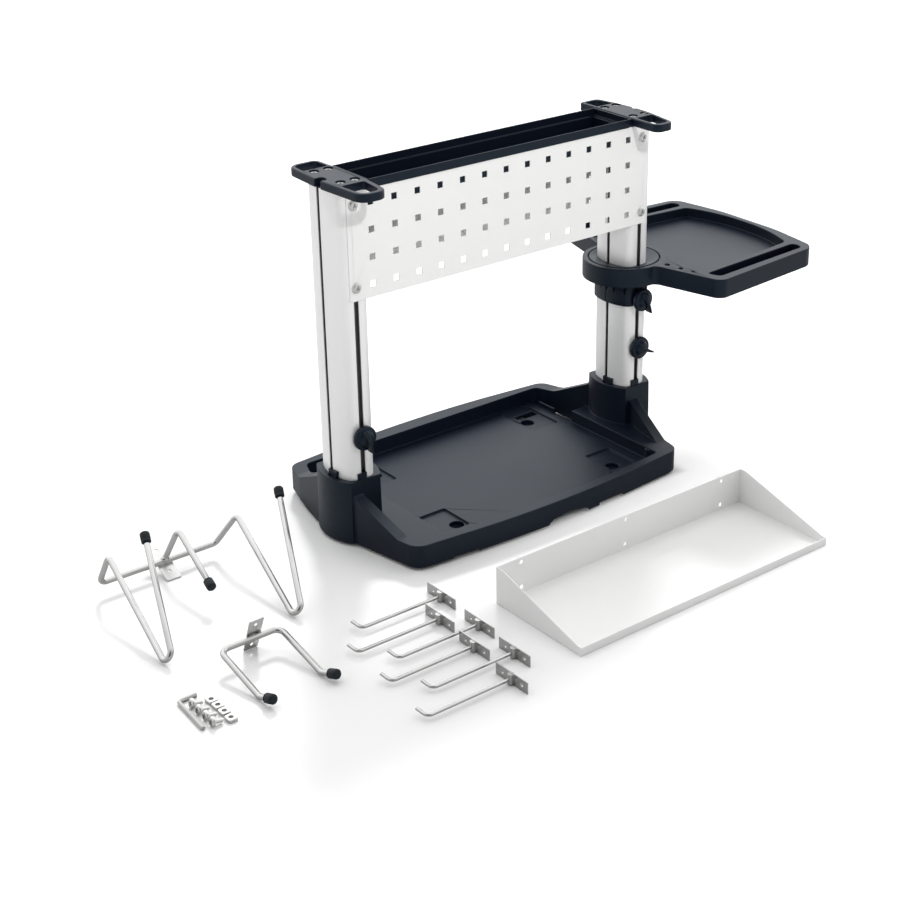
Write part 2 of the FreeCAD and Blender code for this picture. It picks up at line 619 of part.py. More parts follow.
def clamp_ring():
    """Oval ring on the post with webs that carry the tray's collar."""
    top = TRAY_Z0 - FIT_GAP
    sleeve = post_block(RING_T, RING_Z0, TRAY_Z0, POST_X)
    plate = cyl(HUB_X, 0, TRAY_Z0 - 2.5, 49.0, 2.5)
    webs = []
    for k in range(20):
        wedge = Part.Face(Part.makePolygon([
            V(20, -1.1, RING_Z0 + 8), V(49, -1.1, TRAY_Z0 - 2), V(49, -1.1, TRAY_Z0), V(20, -1.1, TRAY_Z0),
            V(20, -1.1, RING_Z0 + 8)])).extrude(V(0, 2.2, 0))
        wedge.rotate(V(0, 0, 0), V(0, 0, 1), 9 + k * 18)
        wedge.translate(V(HUB_X, 0, 0))
        webs.append(wedge)
    boss = cyl(POST_X, -POST_HALF_D - RING_T - 1.0, RING_KNOB_Z, 11.0, 4, V(0, 1, 0))
    skin = post_block(RING_T + 1, RING_Z0, top, POST_X).cut(post_block(RING_T - 2.6, 200, 300, POST_X))
    notches = []
    for k in range(NOTCHES):
        vee = Part.Face(Part.makePolygon([
            V(20, -3.4, TRAY_Z0), V(20, 3.4, TRAY_Z0), V(20, 0, NOTCH_Z), V(20, -3.4, TRAY_Z0)]))
        vee = vee.extrude(V(40, 0, 0))
        vee.rotate(V(0, 0, 0), V(0, 0, 1), NOTCH_TURN + k * 360.0 / NOTCHES)
        vee.translate(V(POST_X, 0, 0))
        notches.append(vee)
    sleeve = sleeve.cut(skin.common(notches[0].multiFuse(notches[1:])))
    sleeve = sleeve.cut(box(POST_X - 40, POST_X - POST_HALF_W - 2.6, -0.5, 0.5, 200, 300))
    body = fuse([sleeve, plate, boss] + webs)
    cuts = [post_block(FIT_GAP, 200, 400, POST_X), cyl(POST_X, -80, RING_KNOB_Z, THREAD_R, 60, V(0, 1, 0))]
    cuts.append(box(150, 400, -200, 200, top, 400))
    return body.cut(cuts[0].multiFuse(cuts[1:])).removeSplitter()


# Wing knobs and their T-bolts

def tee_bolt(x, z, length):
    """Bolt with a flat head inside the front T-slot and a plain shank."""
    inner = -(POST_HALF_D - SLOT_FRONT[2]) + KNOB_GAP
    half = SLOT_FRONT[1] - KNOB_GAP
    head = box(x - half, x + half, inner, inner + 4.0, z - half, z + half)
    shank = cyl(x, inner - length, z, SHANK_R, length + 1, V(0, 1, 0))
    return fuse([head, shank])


def wing_knob(x, back_y, z, turn):
    """Round knob on a short boss with one broad wing, turned about its own bolt."""
    disc = Part.makeCylinder(KNOB_R, 8.0, V(0, 0, 2.4))
    disc = disc.makeFillet(2.6, [e for e in disc.Edges if e.BoundBox.ZMin > 10.3])
    boss = Part.makeCylinder(10.0, 3.0)
    hub = Part.makeCone(12.5, 8.5, 6.0, V(0, 0, 9.0))
    wing = Part.Wire(corner_edges(
        [V(-14, 0, 5), V(-13, 0, 14), V(-3, 0, 19), V(10, 0, 20.5),
         V(WING_REACH, 0, 19.5), V(WING_REACH, 0, 7), V(15, 0, 5)],
        [0, 4, 10, 14, 3, 3, 0], True))
    flat = Part.Face(wing)
    blade = flat.extrude(V(0, 2.0, 0)).fuse(flat.extrude(V(0, -2.0, 0)))
    root = prism([(0, -7.5, 0), (17.5, -2.4, 0), (17.5, 2.4, 0), (0, 7.5, 0)], 9.0, 15.0)
    knob = fuse([disc, boss, hub, blade, root])
    knob = knob.cut(Part.makeCylinder(THREAD_R, 16.5, V(0, 0, -1)))
    knob.rotate(V(0, 0, 0), V(0, 0, 1), turn)
    knob.rotate(V(0, 0, 0), V(1, 0, 0), 90)
    knob.translate(V(x, back_y, z))
    return knob.removeSplitter()


# Accessories lying on the floor

V_BEND = 9.0
V_BAR = [
    (-578, -7, 107), (-635, -160, 4.6), (-609, 42, 60), (-618, 60, 18),
    (-441, 60, 18), (-418, 37, 60), (-449, -164, 4.6), (-375, -7, 107),
]
V_CENTRE = [(-520, 60, 20), (-502, 49, 60), (-518, -63, 31)]


def touching(points, bend, which):
    """Move the chosen corners out so that the rounded bend passes through them."""
    moved = [V(*p) for p in points]
    for k in which:
        back = (V(*points[k - 1]) - V(*points[k])).normalize()
        ahead = (V(*points[k + 1]) - V(*points[k])).normalize()
        half = back.getAngle(ahead) / 2
        moved[k] = V(*points[k]) - (back + ahead).normalize() * (bend / math.sin(half) - bend)
    return [(p.x, p.y, p.z) for p in moved]


def v_bar():
    """Corner points of the bent bar, its low and high corners moved out."""
    return touching(V_BAR, V_BEND, (1, 2, 5, 6))


def v_holder_wires():
    frame = rod(v_bar(), WIRE_R, V_BEND)
    centre = rod(touching(V_CENTRE, V_BEND, (1,)), WIRE_R, V_BEND)
    return fuse([frame, centre])


def end_grip(tip, before, r, length):
    """Rubber cap pushed over the end of a wire."""
    tip, before = V(*tip), V(*before)
    along = (tip - before).normalize()
    outer = Part.makeCylinder(r, length, tip - along * (length - 2.0), along)
    outer = outer.makeFillet(1.2, [e for e in outer.Edges if e.Length > 5 and len(e.Vertexes) == 1])
    return outer.cut(Part.makeCylinder(WIRE_R + 0.02, length, tip - along * length, along))


def v_holder_caps():
    bar = v_bar()
    centre = touching(V_CENTRE, V_BEND, (1,))
    ends = [(bar[0], bar[1]), (bar[-1], bar[-2]), (centre[2], centre[1])]
    return Part.makeCompound([end_grip(tip, before, 6.6, 15.0) for tip, before in ends])


def slot_plate(x0, x1, lower, upper):
    """Fixing plate between two (y, z) lines, with two fixing holes."""
    length = math.hypot(upper[0] - lower[0], upper[1] - lower[1])
    plate = prism(rect(0, x1 - x0, 0, length, 2.0), 0, 1.6)
    mid = (x1 - x0) / 2
    for y in (length / 2 - TAB_PITCH / 2, length / 2 + TAB_PITCH / 2):
        plate = plate.cut(cyl(mid, y, -1, 2.6, 5))
    lean = math.degrees(math.atan2(upper[1] - lower[1], upper[0] - lower[0]))
    plate.rotate(V(0, 0, 0), V(1, 0, 0), lean)
    plate.translate(V(x0, lower[0], lower[1]))
    return plate.removeSplitter()


U_WIRE = [
    (-583.0, -315.0, 13.0), (-586.0, -288.0, 4.6), (-586.0, -198.0, 25.0),
    (-499.0, -198.0, 25.0), (-499.0, -291.0, 4.6), (-493.5, -318.0, 13.0),
]

HOOK_ROOTS = [
    (-277.0, -241.0), (-313.0, -285.5), (-282.0, -329.0),
    (-319.5, -366.5), (-290.0, -410.5), (-330.5, -455.0),
]
HOOK_LENGTH = 127.0
HOOK_Z = 7.6


def peg_hook(x, y):
    """Single hook lying on the edge of its plate."""
    plate = box(x, x + 1.6, y - 30.5, y + 30.5, 0, 16.0)
    wrap = cyl(x - 1.0, y, 1.0, 4.4, 14.0)
    end = x - HOOK_LENGTH
    wire = rod([(x, y, HOOK_Z), (end, y, HOOK_Z), (end - 1.5, y + 20.0, HOOK_Z + 1.5)], HOOK_R, 8.0)
    solids = [plate, wrap, wire]
    for side in (1, -1):
        ty = y + side * TAB_PITCH / 2
        solids.append(box(x + 1.0, x + 6.5, ty + 2.2, ty + 3.8, 5.0, 11.0))
        solids.append(box(x + 5.0, x + 6.5, ty + 2.2, ty + 8.5, 5.0, 11.0))
    body = fuse(solids)
    for side in (1, -1):
        ty = y + side * TAB_PITCH / 2
        body = body.cut(box(x - 1, x + 2, ty - 3.5, ty + 2.1, 5.0, 11.0))
    return body.removeSplitter()


SHELF_X = (-224.0, 232.0)
SHELF_Y = (-463.0, -292.0)
SHELF_BACK = 55.0
SHELF_LIP = 12.0


def shelf():
    """Folded sheet tray with a tall back, a low lip and hook tabs."""
    x0, x1 = SHELF_X
    y0, y1 = SHELF_Y
    t = SHELF_T
    floor = box(x0, x1, y0, y1, 0, t)
    back = box(x0, x1, y1 - t, y1, 0, SHELF_BACK)
    lip = box(x0, x1, y0, y0 + t, 0, SHELF_LIP)
    cheek = [(y0, 0), (y1, 0), (y1, SHELF_BACK), (y1 - 12, SHELF_BACK), (y0 + 8, SHELF_LIP), (y0, SHELF_LIP)]
    solids = [floor, back, lip, side_profile(cheek, x0, x0 + t), side_profile(cheek, x1 - t, x1)]
    for x in (-182.0, 5.0, 192.0):
        for z in (11.5, 11.5 + TAB_PITCH):
            solids.append(box(x - 3.0, x + 3.0, y1 - 0.5, y1 + 5.5, z + 1.5, z + 3.0))
            solids.append(box(x - 3.0, x + 3.0, y1 + 4.0, y1 + 5.5, z - 4.5, z + 3.0))
    body = fuse(solids)
    for x in (-182.0, 5.0, 192.0):
        for z in (11.5, 11.5 + TAB_PITCH):
            body = body.cut(box(x - 3.2, x + 3.2, y1 - t - 1, y1 + 1, z - 4.5, z + 1.4))
    return body.removeSplitter()


def hex_key():
    """Bent hexagon bar, five millimetres across its flats."""
    z = 2.5
    points = [V(-641.0, -232.7, z), V(-665.6, -232.6, z), V(-671.0, -301.0, z)]
    path = Part.Wire(corner_edges(points, [0, 6.0, 0], False))
    r = 2.5 / math.cos(math.pi / 6)
    corners = [V(points[0].x, points[0].y + r * math.cos(math.radians(60 * k)),
                 z + r * math.sin(math.radians(60 * k))) for k in range(6)]
    ring = Part.makePolygon(corners + corners[:1])
    return path.makePipeShell([ring], True, False)


LOOSE_SCREWS = [(-656.5, -252.5), (-657.0, -269.0), (-656.8, -285.5), (-657.2, -301.5)]
LOOSE_NUTS = [(-633.0, -254.5), (-633.0, -270.0), (-633.5, -286.0), (-634.5, -303.0)]


def loose_screws():
    screw = pan_screw(6.6, 3.8, SHANK_R, 12.0, 3.2)
    tilt = (math.cos(math.radians(13)), 0, -math.sin(math.radians(13)))
    items = []
    for x, y in LOOSE_SCREWS:
        item = placed(screw, (x, y, 10.0), tilt, 15.0)
        item.translate(V(0, 0, -item.BoundBox.ZMin))
        items.append(item)
    return Part.makeCompound(items)


def loose_nuts():
    items = []
    for x, y in LOOSE_NUTS:
        nut = prism(rect(x - 6.2, x + 6.2, y - 7.0, y + 7.0, 2.5), 0, 4.4)
        items.append(nut.cut(cyl(x, y, -1, THREAD_R, 8)))
    return Part.makeCompound(items)


def main():
    os.makedirs("parts", exist_ok=True)
    save(base_tray(), "base_tray")
    save(socket_keys(), "socket_keys")
    save(base_feet(), "base_feet")
    save(post(-POST_X), "post_left")
    save(post(POST_X), "post_right")
    save(post_bolts(), "post_bolts")
    save(panel(-POST_HALF_D - PANEL_T), "front_panel")
    save(panel(POST_HALF_D), "rear_panel")
    save(panel_screws(), "panel_screws")
    save(panel_nuts(), "panel_nuts")
    save(top_trough(), "top_trough")
    save(end_cap(-POST_X, *CAP_LEFT), "cap_left")
    save(end_cap(POST_X, *CAP_RIGHT), "cap_right")
    save(cap_screws(), "cap_screws")
    save(swivel_tray(), "swivel_tray")
    save(swivel_bush(), "swivel_bush")
    save(clamp_ring(), "clamp_ring")
    front = -POST_HALF_D
    save(tee_bolt(POST_X, RING_KNOB_Z, 22.0), "ring_bolt")
    save(wing_knob(POST_X, front - RING_T - 1.0 - KNOB_GAP, RING_KNOB_Z, -68.0), "ring_knob")
    save(tee_bolt(-POST_X, KNOB_Z, 17.0), "left_bolt")
    save(wing_knob(-POST_X, front - KNOB_GAP, KNOB_Z, -76.0), "left_knob")
    save(tee_bolt(POST_X, KNOB_Z, 17.0), "right_bolt")
    save(wing_knob(POST_X, front - KNOB_GAP, KNOB_Z, -24.0), "right_knob")
    save(v_holder_wires(), "v_holder_wires")
    save(v_holder_caps(), "v_holder_caps")
    save(slot_plate(-531.0, -509.0, (36.2, 0.2), (95.2, 29.0)), "v_holder_plate")
    save(rod(U_WIRE, WIRE_R, 12.0), "u_holder_wire")
    grips = [end_grip(U_WIRE[0], U_WIRE[1], 7.2, 13.0), end_grip(U_WIRE[-1], U_WIRE[-2], 7.2, 13.0)]
    save(Part.makeCompound(grips), "u_holder_caps")
    save(slot_plate(-544.5, -523.5, (-181.0, 0.6), (-202.5, 53.4)), "u_holder_plate")
    for k, (x, y) in enumerate(HOOK_ROOTS):
        save(peg_hook(x, y), "hook_%d" % (k + 1))
    save(shelf(), "shelf")
    save(hex_key(), "hex_key")
    save(loose_screws(), "loose_screws")
    save(loose_nuts(), "loose_nuts")


main()
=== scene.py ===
"""Tool workcenter with its loose hooks, holders and shelf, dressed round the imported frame."""
import json
import math
import bmesh
import bpy
import numpy as np
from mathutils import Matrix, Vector


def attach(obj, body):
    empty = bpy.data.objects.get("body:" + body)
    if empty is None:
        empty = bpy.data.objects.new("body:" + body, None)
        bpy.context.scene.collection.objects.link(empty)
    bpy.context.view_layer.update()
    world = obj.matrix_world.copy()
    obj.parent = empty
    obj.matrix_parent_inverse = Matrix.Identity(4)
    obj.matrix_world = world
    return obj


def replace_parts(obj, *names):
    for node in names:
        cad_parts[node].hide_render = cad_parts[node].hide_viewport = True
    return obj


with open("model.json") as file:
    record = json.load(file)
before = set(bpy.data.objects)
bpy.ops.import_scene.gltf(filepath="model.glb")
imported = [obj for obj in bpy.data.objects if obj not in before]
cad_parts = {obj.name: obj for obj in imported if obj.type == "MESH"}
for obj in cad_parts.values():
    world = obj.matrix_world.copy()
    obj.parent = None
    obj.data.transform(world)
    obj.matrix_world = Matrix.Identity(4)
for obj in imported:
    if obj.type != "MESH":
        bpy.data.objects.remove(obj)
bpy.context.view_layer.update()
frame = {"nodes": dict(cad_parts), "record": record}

MM = 0.001

# The photo's width, its lens and its middle point in pixels, from the camera's solution.
PHOTO = 900.0
FOCAL = 1786.32
MIDDLE_X = 533.149
MIDDLE_Y = 411.568

# Sizes on the posts, in millimetres, and the edges that get rounded, in degrees.
POST_X = 256.0
POST_FIT = 0.35
HUB_OFF = 5.2
RING_WALL = 3.6
RING_NOTCHES = 14
ROUNDED_ABOVE = 35.0

# Cosine of 50 degrees.
SAME_SIDE = 0.64


# Shader maths

class Value:
    """A socket in one finish; + - and * on it add Math nodes."""

    def __init__(self, finish, socket):
        self.finish = finish
        self.socket = socket

    def _math(self, operation, first, second):
        return self.finish.add("Math", {"operation": operation}, {0: first, 1: second})

    def __add__(self, other):
        return self._math("ADD", self, other)

    def __sub__(self, other):
        return self._math("SUBTRACT", self, other)

    def __mul__(self, other):
        return self._math("MULTIPLY", self, other)


class Finish:
    """One procedural material, with its shader's constants given first."""

    def __init__(self, name, **constants):
        self.material = bpy.data.materials.new(name)
        self.material.use_nodes = True
        self.tree = self.material.node_tree
        self.shader = self.tree.nodes["Principled BSDF"]
        for key, number in constants.items():
            self.shader.inputs[key.replace("_", " ")].default_value = number

    def add(self, kind, settings=None, sockets=None, out=0):
        """Node of a type, its settings first, then its sockets' values or links."""
        node = self.tree.nodes.new("ShaderNode" + kind)
        for key, setting in (settings or {}).items():
            setattr(node, key, setting)
        for key, given in (sockets or {}).items():
            self.feed(node.inputs[key], given)
        return Value(self, node.outputs[out])

    def feed(self, socket, given):
        if isinstance(given, Value):
            self.tree.links.new(given.socket, socket)
        else:
            socket.default_value = given

    def place(self, scale=(1.0, 1.0, 1.0)):
        """Object coordinates, stretched by a scale on each axis."""
        start = self.add("TexCoord", out="Object")
        return self.add("Mapping", {}, {"Vector": start, "Scale": scale})

    def noise(self, scale, detail=2.0, stretch=(1.0, 1.0, 1.0)):
        sockets = {"Vector": self.place(stretch), "Scale": scale, "Detail": detail}
        return self.add("TexNoise", {}, sockets, "Fac")

    def axis(self, letter):
        """One coordinate of the point, in metres."""
        return self.add("SeparateXYZ", {}, {"Vector": self.add("TexCoord", out="Object")}, letter)

    def size(self, value):
        return self.add("Math", {"operation": "ABSOLUTE"}, {0: value})

    def below(self, value, limit):
        """1 where value is less than limit, else 0."""
        return self.add("Math", {"operation": "LESS_THAN"}, {0: value, 1: limit})

    def mix(self, factor, first, second):
        """Colour between two colours."""
        return self.add("Mix", {"data_type": "RGBA"}, {0: factor, 6: first, 7: second}, 2)

    def bump(self, height, distance, strength=1.0):
        return self.add("Bump", {}, {"Height": height, "Distance": distance, "Strength": strength})

    def set(self, **sockets):
        for key, given in sockets.items():
            self.feed(self.shader.inputs[key.replace("_", " ")], given)
        return self.material


def rgb(r, g, b):
    return (r, g, b, 1.0)


def moulded(name, dark, light, rough):
    """Satin plastic with a fine eroded grain and faint mottling."""
    f = Finish(name, IOR=1.5, Specular_IOR_Level=0.32, Specular_Tint=rgb(0.68, 0.89, 1.0))
    cloud = f.noise(7.0, 3.0)
    grain = f.noise(1400.0, 2.0)
    return f.set(
        Base_Color=f.mix(cloud, dark, light),
        Roughness=cloud * 0.10 + (rough - 0.05),
        Normal=f.bump(grain, 0.00006, 0.5),
    )


def powder(name, colour, shade, rough):
    """Powder coat: fine orange peel and a very slight cloud in the colour."""
    f = Finish(name, IOR=1.5, Specular_IOR_Level=0.35)
    peel = f.noise(900.0, 3.0)
    cloud = f.noise(5.0, 2.0)
    return f.set(
        Base_Color=f.mix(cloud, colour, shade),
        Roughness=peel * 0.12 + (rough - 0.06),
        Normal=f.bump(peel, 0.00005, 0.6),
    )


def extruded():
    """Satin anodised aluminium with fine lines along the extrusion, and painted shade inside the slots."""
    f = Finish("anodised_aluminium", IOR=1.5)
    lines = f.noise(900.0, 3.0, (1.0, 1.0, 0.004))
    cloud = f.noise(6.0, 2.0, (1.0, 1.0, 0.15))
    across = f.size(f.size(f.axis("X")) - POST_X * MM)
    deep = f.size(f.axis("Y"))
    # Masks of the slot cavities, where the colour below is painted dark grey as shade.
    side_slot_shade = f.below(across, 0.0262) * f.below(0.012, across) * f.below(deep, 0.010)
    front_slot_shade = f.below(deep, 0.0372) * f.below(0.026, deep) * f.below(across, 0.010)
    metal = f.mix(cloud, rgb(0.93, 0.93, 0.925), rgb(0.89, 0.89, 0.89))
    return f.set(
        Base_Color=f.mix(side_slot_shade + front_slot_shade, metal, rgb(0.20, 0.20, 0.20)),
        Metallic=0.36,
        Roughness=lines * 0.14 + 0.34,
        Normal=f.bump(lines, 0.00004, 0.35),
    )


def plated(name, colour, shade, rough, grain):
    """Plated steel: bright, with slight clouds in colour and gloss."""
    f = Finish(name, IOR=1.5)
    cloud = f.noise(40.0, 3.0)
    fine = f.noise(700.0, 2.0)
    return f.set(
        Base_Color=f.mix(cloud, colour, shade),
        Metallic=1.0,
        Roughness=cloud * grain + (rough - grain / 2),
        Normal=f.bump(fine, 0.00003, 0.3),
    )


FINISHES = {
    "dark_plastic": moulded(
        "moulded_navy_black", rgb(0.003, 0.005, 0.012), rgb(0.0042, 0.0066, 0.0145), 0.40),
    "rubber": moulded("black_rubber", rgb(0.008, 0.008, 0.009), rgb(0.012, 0.012, 0.013), 0.55),
    "panel_paint": powder("panel_powder_coat", rgb(0.82, 0.82, 0.81), rgb(0.80, 0.80, 0.795), 0.50),
    "shelf_paint": powder("shelf_powder_coat", rgb(0.86, 0.86, 0.855), rgb(0.83, 0.83, 0.825), 0.50),
    "aluminium": extruded(),
    "steel": plated("zinc_plated_steel", rgb(0.78, 0.78, 0.77), rgb(0.66, 0.66, 0.65), 0.30, 0.12),
    "dark_steel": plated("key_steel", rgb(0.52, 0.52, 0.51), rgb(0.44, 0.44, 0.43), 0.34, 0.10),
    "chrome_wire": plated("chromed_wire", rgb(0.58, 0.58, 0.575), rgb(0.50, 0.50, 0.495), 0.12, 0.06),
    "zinc_wire": plated("bright_zinc_wire", rgb(0.60, 0.60, 0.595), rgb(0.52, 0.52, 0.515), 0.18, 0.08),
}

RECORD = frame["record"]
SLOTS = {part["node"]: part["material_slot"] for part in RECORD["subparts"]}
BODIES = {node: body for body, nodes in RECORD["behaviour"]["bodies"].items() for node in nodes}


# Pieces

def show(name, mesh, node):
    """New piece on a node's body that stands for the node."""
    piece = bpy.data.objects.new(name, mesh)
    bpy.context.scene.collection.objects.link(piece)
    mesh.materials.clear()
    mesh.materials.append(FINISHES[SLOTS[node]])
    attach(piece, BODIES[node])
    return piece


def per_face(mesh, key, width=1):
    """One number or vector of each face, as an array."""
    values = np.empty(len(mesh.polygons) * width)
    mesh.polygons.foreach_get(key, values)
    return values.reshape(-1, width) if width > 1 else values


def corner_points(mesh):
    """The mesh's points as an array."""
    points = np.empty(len(mesh.vertices) * 3)
    mesh.vertices.foreach_get("co", points)
    return points.reshape(-1, 3)


def even_normals(mesh):
    """Normals that keep flat faces flat beside rounded edges.

    The normal at a corner of a face is the sum over the faces there of n * A, where A is
    the area of all faces in the same plane, and only faces within 50 degrees count.
    Normals count as the same to 1/200 and planes to 1/5000 m, with odd offsets so that
    round sizes don't fall on a limit.
    """
    normal = per_face(mesh, "normal", 3)
    offset = (normal * per_face(mesh, "center", 3)).sum(axis=1)
    plane = np.round(np.column_stack([normal * 200 + 0.23, offset * 5000 + 0.19])).astype(int)
    same = np.unique(plane, axis=0, return_inverse=True)[1].reshape(-1)
    flat = np.bincount(same, weights=per_face(mesh, "area"))[same]
    corner = np.empty(len(mesh.loops), int)
    mesh.loops.foreach_get("vertex_index", corner)
    order = np.argsort(corner, kind="stable")
    vertex = corner[order]
    sides = per_face(mesh, "loop_total").astype(int)
    face = np.repeat(np.arange(len(sides)), sides)[order]
    own = normal[face]
    part = own * flat[face][:, None]
    total = part.copy()
    step = 1
    while True:
        first = np.nonzero(vertex[step:] == vertex[:-step])[0]
        if not len(first):
            break
        first = first[(own[first] * own[first + step]).sum(axis=1) > SAME_SIDE]
        total[first] += part[first + step]
        total[first + step] += part[first]
        step += 1
    total /= np.maximum(np.linalg.norm(total, axis=1), 1e-12)[:, None]
    even = np.empty_like(total)
    even[order] = total
    mesh.normals_split_custom_set(even)


def softened(node, width):
    """A node's own shape with its edges rounded: doubles merged, a bevel, then even normals.

    Points that the bevel pushes past the shape's own box are brought back to it.
    """
    mesh = frame["nodes"][node].data.copy()
    work = bmesh.new()
    work.from_mesh(mesh)
    bmesh.ops.remove_doubles(work, verts=work.verts, dist=2e-6)
    work.to_mesh(mesh)
    work.free()
    mesh.shade_smooth()
    piece = show(node + "_piece", mesh, node)
    edge = piece.modifiers.new("rounded_edges", "BEVEL")
    edge.width = width * MM
    edge.segments = 2
    edge.limit_method = "ANGLE"
    edge.angle_limit = math.radians(ROUNDED_ABOVE)
    edge.use_clamp_overlap = False
    bpy.context.view_layer.update()
    evaluated = piece.evaluated_get(bpy.context.evaluated_depsgraph_get())
    solid = bpy.data.meshes.new_from_object(evaluated)
    piece.modifiers.clear()
    own = corner_points(mesh)
    held = np.clip(corner_points(solid), own.min(axis=0), own.max(axis=0))
    solid.vertices.foreach_set("co", held.ravel())
    solid.update()
    piece.data = solid
    even_normals(solid)
    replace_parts(piece, node)


def surface(name, grids, node, sharp=40.0, hollow=()):
    """New piece made of closed grids, smooth except where faces meet sharply.

    Each grid is an array rows x columns x 3 in millimetres. Columns close round;
    the first and last row are closed by one face each, or joined to each other
    in the grids whose numbers are in hollow.
    """
    points, faces, start = [], [], 0
    for number, grid in enumerate(grids):
        if number in hollow:
            grid = np.concatenate([grid, grid[:1]])
        rows, columns = grid.shape[:2]
        points.append(grid.reshape(-1, 3))
        i, j = np.meshgrid(np.arange(rows - 1), np.arange(columns), indexing="ij")
        a = start + i * columns + j
        b = start + i * columns + (j + 1) % columns
        faces += np.stack([a, b, b + columns, a + columns], axis=-1).reshape(-1, 4).tolist()
        if number not in hollow:
            faces.append((start + np.arange(columns))[::-1].tolist())
            faces.append((start + (rows - 1) * columns + np.arange(columns)).tolist())
        start += rows * columns
    mesh = bpy.data.meshes.new(name)
    mesh.from_pydata((np.concatenate(points) * MM).tolist(), [], faces)
    mesh.validate()
    work = bmesh.new()
    work.from_mesh(mesh)
    bmesh.ops.remove_doubles(work, verts=work.verts, dist=1e-6)
    bmesh.ops.recalc_face_normals(work, faces=work.faces)
    work.to_mesh(mesh)
    work.free()
    mesh.shade_smooth()
    mesh.set_sharp_from_angle(angle=math.radians(sharp))
    return show(name, mesh, node)


def rounded_path(points, bend, steps=14):
    """Corner points joined by straight runs and arcs.

    At each inner corner the arc starts bend * tan(turn / 2) before it; its points are
    centre + bend * (cos t * out + sin t * ahead) for t from 0 to the turn.
    """
    points = np.asarray(points, float)
    path = [points[0]]
    for before, corner, after in zip(points[:-2], points[1:-1], points[2:]):
        ahead = (corner - before) / np.linalg.norm(corner - before)
        leave = (after - corner) / np.linalg.norm(after - corner)
        turn = math.acos(float(np.clip(ahead @ leave, -1, 1)))
        reach = bend * math.tan(turn / 2)
        inward = leave - ahead * math.cos(turn)
        inward /= np.linalg.norm(inward)
        t = np.linspace(0, turn, steps)[:, None]
        path += list(corner - ahead * reach + bend * ((1 - np.cos(t)) * inward + np.sin(t) * ahead))
    path.append(points[-1])
    return np.asarray(path)


def carried(path, radius, sides, dome=0.35):
    """Round bar: a ring of given radius carried along a path.

    Row i is path[i] + r * (cos a * side + sin a * up), with the ring's frame turned
    as little as possible from one row to the next. Both ends shrink over a short dome.
    """
    path = np.asarray(path, float)
    run = np.gradient(path, axis=0)
    run /= np.linalg.norm(run, axis=1)[:, None]
    side = np.cross(run[0], (0.0, 0.0, 1.0) if abs(run[0][2]) < 0.9 else (0.0, 1.0, 0.0))
    frames = []
    for forward in run:
        side = side - forward * (side @ forward)
        side = side / np.linalg.norm(side)
        frames.append((side, np.cross(forward, side)))
    a = np.linspace(0, 2 * math.pi, sides, endpoint=False)[:, None]
    rows = []
    for centre, (across, up) in zip(path, frames):
        rows.append(centre + radius * (np.cos(a) * across + np.sin(a) * up))
    for end, first in ((0, True), (-1, False)):
        across, up = frames[end]
        outward = -run[0] if first else run[-1]
        for level in (0.5, 0.85, 1.0):
            shrink = radius * (1 - dome * (1 - math.cos(level * math.pi / 2)))
            bulge = path[end] - outward * dome * radius * (1 - math.sin(level * math.pi / 2))
            ring = bulge + shrink * (np.cos(a) * across + np.sin(a) * up)
            rows = [ring] + rows if first else rows + [ring]
    rows[3] = rows[3] + run[0] * dome * radius
    rows[-4] = rows[-4] - run[-1] * dome * radius
    return np.stack(rows)


def turned(profile, foot, along, steps=40):
    """Turned part: points (radius, height) carried round an axis.

    Row i is foot + height * along + radius * (cos a * side + sin a * up).
    """
    along = np.asarray(along, float) / np.linalg.norm(along)
    side = np.cross(along, (0.0, 0.0, 1.0) if abs(along[2]) < 0.9 else (0.0, 1.0, 0.0))
    side /= np.linalg.norm(side)
    up = np.cross(along, side)
    a = np.linspace(0, 2 * math.pi, steps, endpoint=False)[None, :, None]
    r = np.asarray(profile, float)[:, 0][:, None, None]
    h = np.asarray(profile, float)[:, 1][:, None, None]
    return np.asarray(foot, float) + h * along + r * (np.cos(a) * side + np.sin(a) * up)


def pillow(outline, half, edge, place):
    """Flat part with a rolled edge, from an outline (x, z) given counter-clockwise.

    A ring is the outline moved inwards along its normal by edge * (1 - cos q), at
    the height half(x) - edge + edge * |sin q| on the side of q's sign, for q from -90
    to 90 degrees. The place function takes x, y, z to the part's own place.
    """
    corner = np.asarray(outline, float)
    ahead = np.roll(corner, -1, axis=0) - np.roll(corner, 1, axis=0)
    normal = np.stack([ahead[:, 1], -ahead[:, 0]], axis=1)
    normal /= np.linalg.norm(normal, axis=1)[:, None]
    rows = []
    for q in np.radians((-90, -60, -30, 0, 30, 60, 90)):
        inset = corner - normal * edge * (1 - math.cos(q))
        thick = half(inset[:, 0]) - edge + edge * abs(math.sin(q))
        rows.append(place(inset[:, 0], np.sign(q) * thick if q else 0 * thick, inset[:, 1]))
    return np.stack(rows)


def post_reach(angle, grow):
    """Distance from a post's axis to its oval, grown outwards, in a direction.

    The ray meets the side arc (radius 78 + grow about 50.5 mm behind the axis), the
    front flat (38.5 + grow) or the corner arc (radius 13.8 + grow about 8.76, 24.7).
    """
    c, s = np.abs(np.cos(angle)), np.maximum(np.abs(np.sin(angle)), 1e-9)
    side = -50.5 * c + np.sqrt((50.5 * c) ** 2 - 50.5 ** 2 + (78.0 + grow) ** 2)
    flat = (38.5 + grow) / s
    along = 8.76 * c + 24.7 * s
    corner = along + np.sqrt(np.maximum(along ** 2 - 8.76 ** 2 - 24.7 ** 2 + (13.8 + grow) ** 2, 0))
    on_side = side * s <= 0.4168 * (side * c + 50.5)
    return np.where(on_side, side, np.where(flat * c <= 8.76, flat, corner))


def hub_reach(angle, radius):
    """Distance from the right post's axis to a circle about the tray's own axis, beside it."""
    return HUB_OFF * np.cos(angle) + np.sqrt(radius ** 2 - (HUB_OFF * np.sin(angle)) ** 2)


